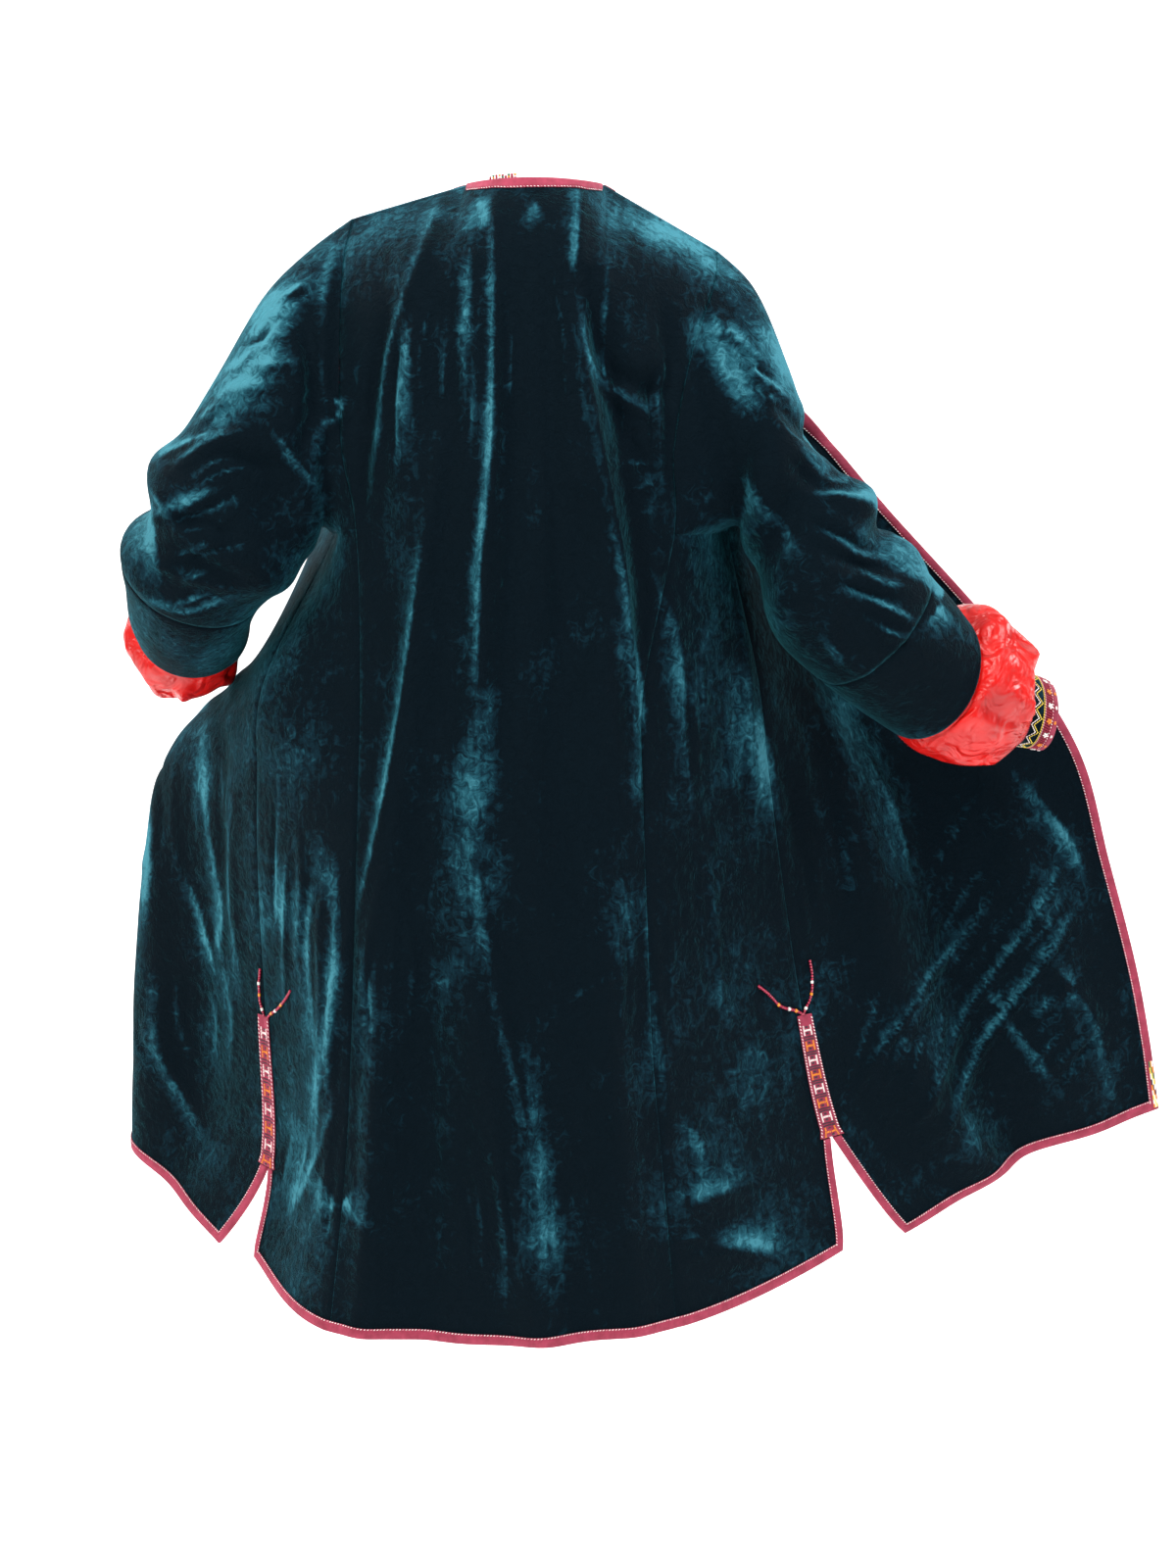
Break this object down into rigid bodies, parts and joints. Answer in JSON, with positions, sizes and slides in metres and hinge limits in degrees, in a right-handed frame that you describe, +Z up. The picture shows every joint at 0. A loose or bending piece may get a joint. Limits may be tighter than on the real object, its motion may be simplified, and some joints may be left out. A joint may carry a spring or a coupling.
{
  "type": "chapan",
  "caption": "Chapan, a long open collarless coat in crushed dark teal velvet with a red satin lining, crimson binding and embroidered side tabs, worn and held open",
  "frame": {"origin": "the base of the neck, midway between the shoulders, where the wearer's shoulders carry the coat", "axes": "+X towards the coat's own left, +Y out of its back, +Z up"},
  "size_m": [1.0936, 0.4512, 1.0998],
  "materials": {
    "velvet": "crushed velvet",
    "satin": "satin",
    "tape": "matt",
    "embroidery": "matt",
    "beads": "satin"
  },
  "bodies": {
    "root": {"back_centre": "velvet", "neck_binding": "tape", "back_binding": "tape", "back_gore_right": "velvet", "front_right": "velvet", "sleeve_right": "velvet", "sleeve_end_right": "velvet", "cuff_satin_right": "satin", "cuff_band_right": "velvet", "cuff_tape_right": "tape", "front_binding_right": "tape", "side_tab_right": "embroidery", "side_tassel_right": "beads", "back_gore_left": "velvet", "front_left": "velvet", "sleeve_left": "velvet", "sleeve_end_left": "velvet", "cuff_satin_left": "satin", "cuff_band_left": "velvet", "cuff_tape_left": "tape", "front_binding_left": "tape", "side_tab_left": "embroidery", "side_tassel_left": "beads"}
  },
  "joints": []
}
